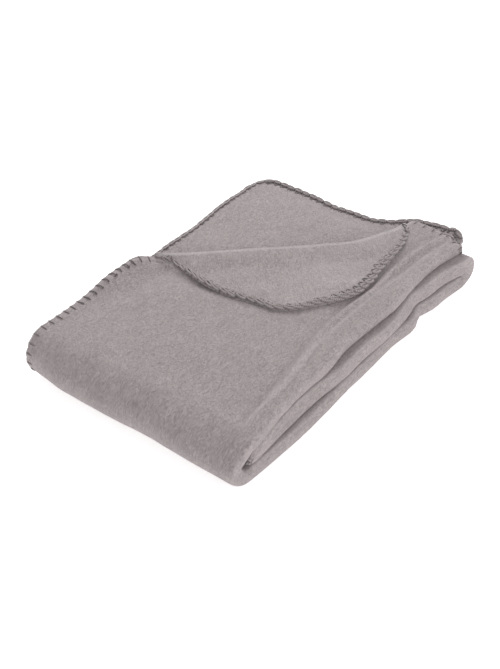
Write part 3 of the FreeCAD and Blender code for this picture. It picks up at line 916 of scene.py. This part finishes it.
def corner_sheet():
    """Middle surface of the turned corner, from the top of the crease's roll to its hem."""
    line, _, height = crease_frame()
    hem = through(FLAP_HEM, CORNER_COLUMNS)
    span = np.linalg.norm(hem - line, axis=1)
    rows = []
    for share in np.linspace(0, 1, CORNER_ROWS):
        plan = line + (hem - line) * share
        away = span * share
        edge = span * (1 - share)
        under = ground(plan[:, 0], plan[:, 1])
        rest = TOP_BASE + MID[3] + CLOTH + 0.2 + under
        sink = ease(away / np.minimum(38, 0.85 * span + 3))
        level = (height + 2 * ROLL_RADIUS) * (1 - sink) + rest * sink
        heap = 1.2 * waves(plan[:, 0], plan[:, 1], scale=80, seed=8)
        folds = 0.9 * np.sin(away / 11) * ease((plan[:, 0] + 30) / 60)
        swell = (heap + folds) * sink * ease(edge / 30)
        lip = -1.1 * np.exp(-(edge / 5) ** 2)
        rows.append(np.column_stack([plan, level + np.maximum(swell, 0) + lip]))
    return np.array(rows)


def corner_thickness(p):
    edge = np.linalg.norm(p - p[-1], axis=2)
    ends = np.minimum(np.linalg.norm(p - p[:, :1], axis=2), np.linalg.norm(p - p[:, -1:], axis=2))
    return hem_share(np.minimum(edge, ends + 2))


def crease_painted_highlight(rows):
    """Painted highlight along the roll's top, the crease that catches the light."""
    turn = np.clip((np.arange(rows) - 2) / (rows - 3), 0, 1)
    return 0.55 * ease((turn - 0.35) / 0.5)[:, None]


def crease_thickness(p):
    ends = np.minimum(np.linalg.norm(p - p[:, :1], axis=2), np.linalg.norm(p - p[:, -1:], axis=2))
    return hem_share(ends + 2)


# ---------------------------------------------------------------- studio
CAMERA_ELEVATION = math.radians(37.2)
CAMERA_AZIMUTH = math.radians(37.1)
CAMERA_DISTANCE = 1.52
CAMERA_AIM = Vector((0.003, -0.017, 0.0))
SENSOR = 36.0
FOCAL_SHARE = 1200 / 669     # focal length, as a share of the picture's height
WORLD_STRENGTH = 0.62
FLOOR_HALF_SIZE = 12.0
FLOOR_GAP = 0.0005


def make_camera():
    level = math.cos(CAMERA_ELEVATION)
    back = Vector((math.sin(CAMERA_AZIMUTH) * level, -math.cos(CAMERA_AZIMUTH) * level,
                   math.sin(CAMERA_ELEVATION)))
    data = bpy.data.cameras.new("camera")
    camera = bpy.data.objects.new("camera", data)
    bpy.context.scene.collection.objects.link(camera)
    camera.location = CAMERA_AIM + back * CAMERA_DISTANCE
    camera.rotation_euler = back.to_track_quat("Z", "Y").to_euler()
    data.sensor_width = SENSOR
    data.lens = FOCAL_SHARE * SENSOR
    data.clip_start = 0.05
    data.clip_end = 30
    bpy.context.scene.camera = camera


def area_light(name, place, size, power):
    """A round soft light that faces the middle of the stage."""
    data = bpy.data.lights.new(name, "AREA")
    data.shape = "DISK"
    data.size = size
    data.energy = power
    light = bpy.data.objects.new(name, data)
    light.location = place
    light.rotation_euler = Vector(place).to_track_quat("Z", "Y").to_euler()
    bpy.context.scene.collection.objects.link(light)


def make_studio():
    world = bpy.data.worlds.new("studio")
    bpy.context.scene.world = world
    world.use_nodes = True
    world.node_tree.nodes["Background"].inputs["Color"].default_value = (1, 1, 1, 1)
    world.node_tree.nodes["Background"].inputs["Strength"].default_value = WORLD_STRENGTH
    area_light("key", place=(-1.4, 1.3, 1.6), size=1.5, power=35.5)
    area_light("side", place=(2.4, 0.2, 1.1), size=1.4, power=14)
    size = FLOOR_HALF_SIZE
    corners = [(-size, -size, 0), (size, -size, 0), (size, size, 0), (-size, size, 0)]
    mesh = bpy.data.meshes.new("floor")
    mesh.from_pydata(corners, [], [(0, 1, 2, 3)])
    floor = bpy.data.objects.new("floor", mesh)
    floor.data.materials.append(floor_material())
    floor.location.z = -FLOOR_GAP
    bpy.context.scene.collection.objects.link(floor)
    bpy.context.scene.view_settings.view_transform = "Standard"


# ---------------------------------------------------------------- the pieces
def build_outer(fleece, yarn):
    """The outer sheet, and the stitching on its hems."""
    p, s, t, kind, name = outer_sheet()
    cloth = cloth_piece("outer_cloth", p, s, t[:, None], outer_thickness(p, kind, name),
                        outer_painted_highlight(p, kind, name), fleece)
    normal = grid_normals(p)
    rows, columns = p.shape[:2]
    inner_step = 3
    side_rows = range(int(np.argmax(p[:, 0, 1] < CREASE_LINE[0, 1])), rows)
    side = hem_run(p, normal, [(i, 0) for i in side_rows], [(i, inner_step) for i in side_rows],
                   scale=1.15)
    end_columns = range(int(np.argmax(kind == INNER_FOLD)))
    end = hem_run(p, normal, [(0, j) for j in end_columns], [(inner_step, j) for j in end_columns])
    under_columns = range(int(np.argmax(kind == 3)), columns)
    under_end = hem_run(p, normal, [(0, j) for j in under_columns],
                        [(inner_step, min(j, columns - 3)) for j in under_columns],
                        scale=1.15, out=1.0, painted_light=-0.15)
    under_side = hem_run(p, normal, [(i, columns - 1) for i in range(1, rows)],
                         [(max(i, 3), columns - 3) for i in range(1, rows)], scale=0.74, painted_light=0.35)
    runs = (side, end, under_end, under_side)
    return cloth, stitching_piece("outer_stitching", runs, 21, yarn)


def build_middle(fleece, yarn):
    """The middle sheet, and the stitching round its three hems."""
    p, s, t, kind = middle_sheet()
    cloth = cloth_piece("middle_cloth", p, s, t[:, None], middle_thickness(p, kind),
                        middle_painted_highlight(), fleece)
    rows, columns = p.shape[:2]
    path = ([(i, 0) for i in range(rows)] + [(rows - 1, j) for j in range(1, columns)]
            + [(i, columns - 1) for i in range(rows - 2, -1, -1)])
    inside = [(min(i, rows - 3), min(max(j, 2), columns - 3)) for i, j in path]
    hems = hem_run(p, grid_normals(p), path, inside)
    return cloth, stitching_piece("middle_stitching", (hems,), 22, yarn)


def build_corner(fleece, yarn):
    """The roll along the crease, the turned corner, and the stitching on its hem."""
    p = crease_sheet()
    along = np.linspace(0, CREASE_LENGTH, p.shape[1])[None]
    across = np.linalg.norm(np.diff(p, axis=0, prepend=p[:1]), axis=2).cumsum(0)
    roll = cloth_piece("crease_roll", p, along, across - 20, crease_thickness(p),
                       crease_painted_highlight(p.shape[0]), fleece, applied=False)
    p = corner_sheet()
    across = np.linalg.norm(np.diff(p, axis=0, prepend=p[:1]), axis=2).cumsum(0)
    # painted highlight along the crease's edge, and a little lighter towards the right
    painted_highlight_share = 0.55 * np.exp(-(across / 2.4) ** 2) + 0.09 * ease((p[..., 0] + 10) / 70)
    cloth = cloth_piece("corner_cloth", p, along, across, corner_thickness(p), painted_highlight_share, fleece)
    normal = grid_normals(p)
    rows, columns = p.shape[:2]
    hem_columns = range(4, columns - 1)
    path = [(rows - 1, j) for j in hem_columns]
    inside = [(rows - 4, j) for j in hem_columns]
    face_down = -normal * np.sign(normal[rows // 2, columns // 2, 2])
    half = len(path) // 2
    left = hem_run(p, face_down, path[:half], inside[:half])
    right = hem_run(p, face_down, path[half - 1:], inside[half - 1:], scale=1.2)
    return roll, cloth, stitching_piece("corner_stitching", (left, right), 23, yarn)


# ---------------------------------------------------------------- the build
make_camera()
make_studio()
fleece = fleece_material()
yarn = yarn_material()
outer, outer_stitches = build_outer(fleece, yarn)
middle, middle_stitches = build_middle(fleece, yarn)
crease, corner, corner_stitches = build_corner(fleece, yarn)

LAYERS = ("layer_1", "layer_2", "layer_3", "layer_4", "outer_fold", "inner_fold", "left_fold")


def nodes_of(*places):
    return [f"{place}_{part}" for place in places for part in LAYERS]


for piece in (outer, outer_stitches):
    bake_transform(piece)
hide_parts(*nodes_of("bottom_third", "front_fold", "top_third"))
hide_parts("bottom_third_stitching", "front_fold_stitching", "top_third_stitching")
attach(middle, "folded_stack")
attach(middle_stitches, "folded_stack")
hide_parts(*nodes_of("back_fold", "middle_third"))
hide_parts("back_fold_stitching", "middle_third_stitching")
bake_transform(crease)
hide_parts("turned_corner_fold")
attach(corner, "turned_corner")
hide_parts("turned_corner")
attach(corner_stitches, "turned_corner")
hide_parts("turned_corner_stitching")
